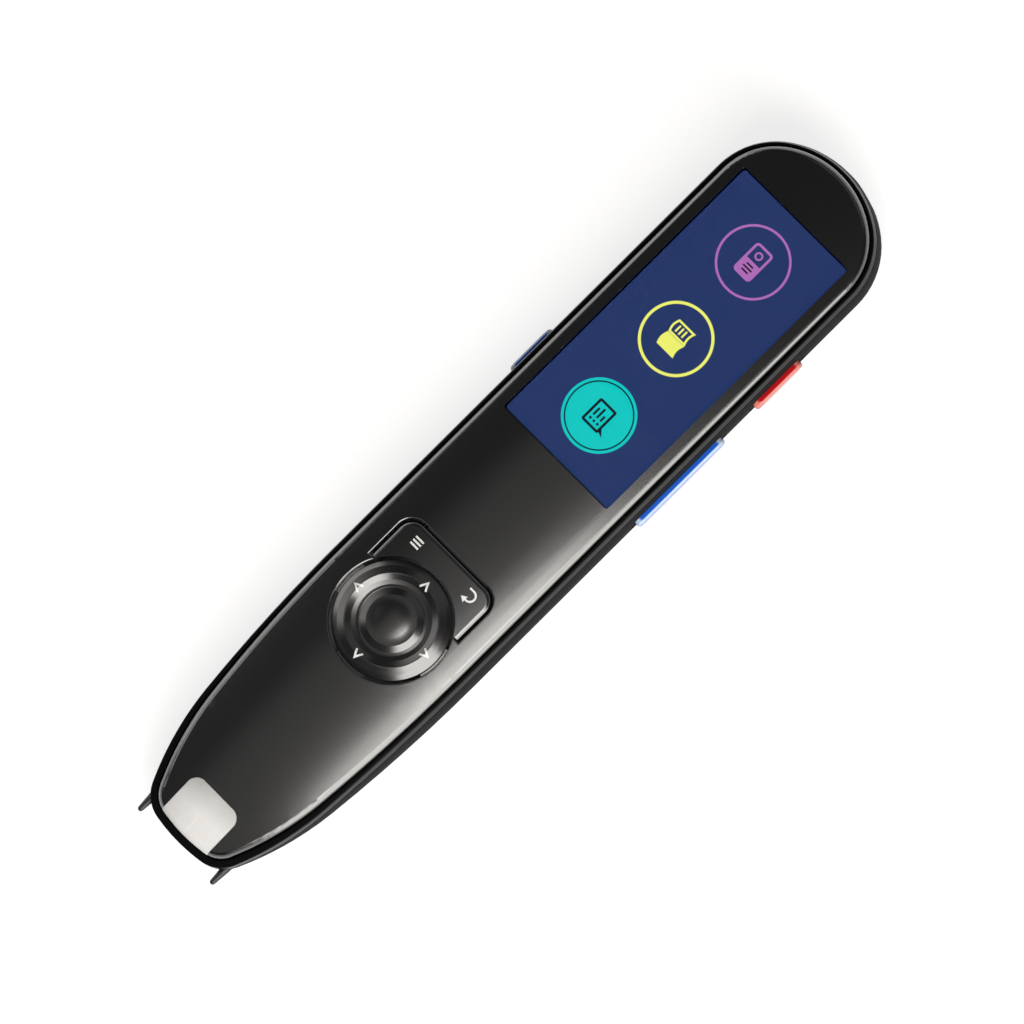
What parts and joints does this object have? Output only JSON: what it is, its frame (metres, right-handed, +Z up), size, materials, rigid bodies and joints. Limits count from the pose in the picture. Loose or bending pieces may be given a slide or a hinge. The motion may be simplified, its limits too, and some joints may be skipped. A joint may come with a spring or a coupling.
{
  "type": "scanning pen",
  "caption": "Pen-sized text scanner with a slanted scanning nose, pronged tip, ring and side keys, long screen and tail sockets.",
  "frame": {"origin": "centre of the underside's bounding rectangle, on the flat back", "axes": "+X along the body towards the tail, +Z up out of the screen, +Y to the side of the single side button"},
  "size_m": [0.1551, 0.0336, 0.0175],
  "materials": {
    "cover_black": "satin",
    "trim_black": "polished",
    "housing_black": "satin",
    "screw_steel": "bright",
    "nose_window_grey": "frosted",
    "scan_glass": "clear",
    "tip_black": "moulded",
    "spring_steel": "drawn wire",
    "switch_grey": "moulded",
    "board_green": "lacquered circuit board",
    "optics_black": "moulded",
    "flex_amber": "polyimide film",
    "key_black": "satin",
    "plate_steel": "stamped",
    "mat_rubber": "silicone",
    "foam_black": "closed-cell foam",
    "display_window": "polished",
    "display_blue": "lit screen",
    "chip_black": "moulded package",
    "connector_ivory": "moulded",
    "battery_foil": "laminated pouch",
    "wire_red": "insulated wire",
    "speaker_black": "moulded",
    "mesh_black": "woven mesh",
    "socket_steel": "plated",
    "jack_black": "moulded",
    "button_blue": "polished",
    "button_red": "polished"
  },
  "bodies": {
    "body": {"front_cover": "cover_black", "trim_frame": "trim_black", "rear_housing": "housing_black", "housing_screws": "screw_steel", "board_screws": "screw_steel", "optics_screws": "screw_steel", "nose_window": "nose_window_grey", "scan_glass": "scan_glass", "tip_springs": "spring_steel", "tip_switch": "switch_grey", "side_switches": "switch_grey", "light_board": "board_green", "sensor_board": "board_green", "main_board": "board_green", "optics_housing": "optics_black", "lens_barrel": "optics_black", "sensor_flex": "flex_amber", "display_flex": "flex_amber", "key_domes": "plate_steel", "keypad_mat": "mat_rubber", "display_gasket": "foam_black", "battery_pad": "foam_black", "speaker_gasket": "foam_black", "display_window": "display_window", "display_panel": "display_blue", "processor": "chip_black", "memory_chips": "chip_black", "power_chips": "chip_black", "board_connectors": "connector_ivory", "battery": "battery_foil", "battery_wires": "wire_red", "speaker_wires": "wire_red", "speaker": "speaker_black", "speaker_mesh": "mesh_black", "charge_socket": "socket_steel", "headphone_jack": "jack_black"},
    "ok_button": {"ok_button": "key_black"},
    "ring_carrier": {"ring_carrier": "plate_steel"},
    "direction_ring": {"direction_ring": "key_black"},
    "menu_back_key": {"menu_back_key": "key_black"},
    "power_button": {"power_button": "button_red"},
    "volume_rocker": {"volume_rocker": "button_blue"},
    "record_button": {"record_button": "button_blue"},
    "tip": {"tip_fork": "tip_black"}
  },
  "joints": [
    {"name": "ok_press", "type": "slide", "parent": "body", "child": "ok_button", "axis": [0, 0, -1], "range_m": [0, 0.0005], "stiffness_N_per_m": 400, "springref_m": -0.001},
    {"name": "ring_long_tilt", "type": "hinge", "parent": "body", "child": "ring_carrier", "pos_m": [-0.0263, 0, 0.0134], "axis": [0, 1, 0], "range_deg": [-2.5, 2.5], "stiffness_Nm_per_rad": 0.3},
    {"name": "ring_cross_tilt", "type": "hinge", "parent": "ring_carrier", "child": "direction_ring", "pos_m": [-0.0263, 0, 0.01455], "axis": [1, 0, 0], "range_deg": [-2.5, 2.5], "stiffness_Nm_per_rad": 0.3},
    {"name": "menu_back_rock", "type": "hinge", "parent": "body", "child": "menu_back_key", "pos_m": [-0.0135, 0, 0.0134], "axis": [1, 0, 0], "range_deg": [-2.5, 2.5], "stiffness_Nm_per_rad": 0.25},
    {"name": "power_press", "type": "slide", "parent": "body", "child": "power_button", "axis": [0, 1, 0], "range_m": [0, 0.0004], "stiffness_N_per_m": 400, "springref_m": -0.001},
    {"name": "volume_rock", "type": "hinge", "parent": "body", "child": "volume_rocker", "pos_m": [0.0226, -0.01375, 0.0087], "axis": [0, 0, 1], "range_deg": [-1.5, 1.5], "stiffness_Nm_per_rad": 0.4},
    {"name": "record_press", "type": "slide", "parent": "body", "child": "record_button", "axis": [0, -1, 0], "range_m": [0, 0.0004], "stiffness_N_per_m": 400, "springref_m": -0.001},
    {"name": "tip_press", "type": "slide", "parent": "body", "child": "tip", "axis": [1, 0, 0], "range_m": [0, 0.001], "stiffness_N_per_m": 500, "springref_m": -0.001, "deforming": ["tip_springs"]}
  ]
}
